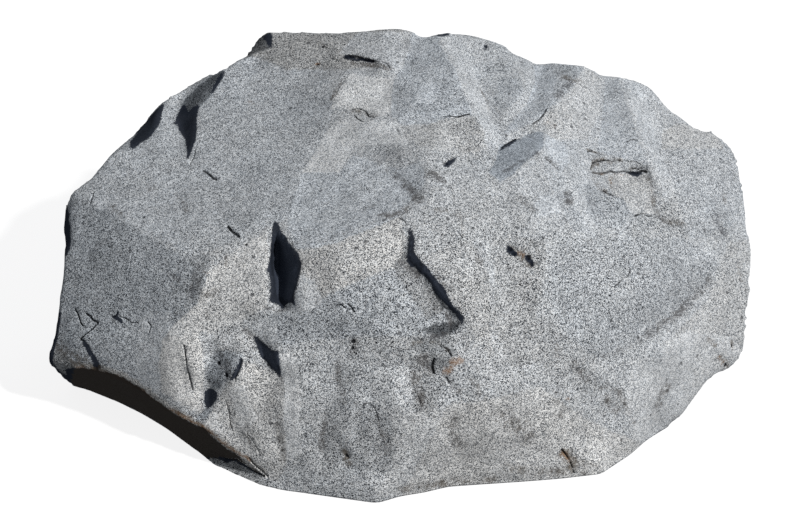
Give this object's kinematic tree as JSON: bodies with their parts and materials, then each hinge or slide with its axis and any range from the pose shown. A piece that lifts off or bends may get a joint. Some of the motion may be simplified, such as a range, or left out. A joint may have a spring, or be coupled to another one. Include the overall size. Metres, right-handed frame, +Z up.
{
  "type": "boulder",
  "caption": "Broken granite boulder with fracture faces, deep notches and an undercut end, lying on its flat foot.",
  "frame": {"origin": "on the ground, on the flat foot, near the middle of the footprint", "axes": "+X along the stone's long side, towards its blunt end; -Y out of its broken front; +Z up from the foot"},
  "size_m": [1.5012, 1.0493, 0.663],
  "materials": {
    "granite": "rough broken granite, fine salt-and-pepper grain, cool grey weathering, small rust stains"
  },
  "bodies": {
    "root": {"boulder": "granite"}
  },
  "joints": []
}
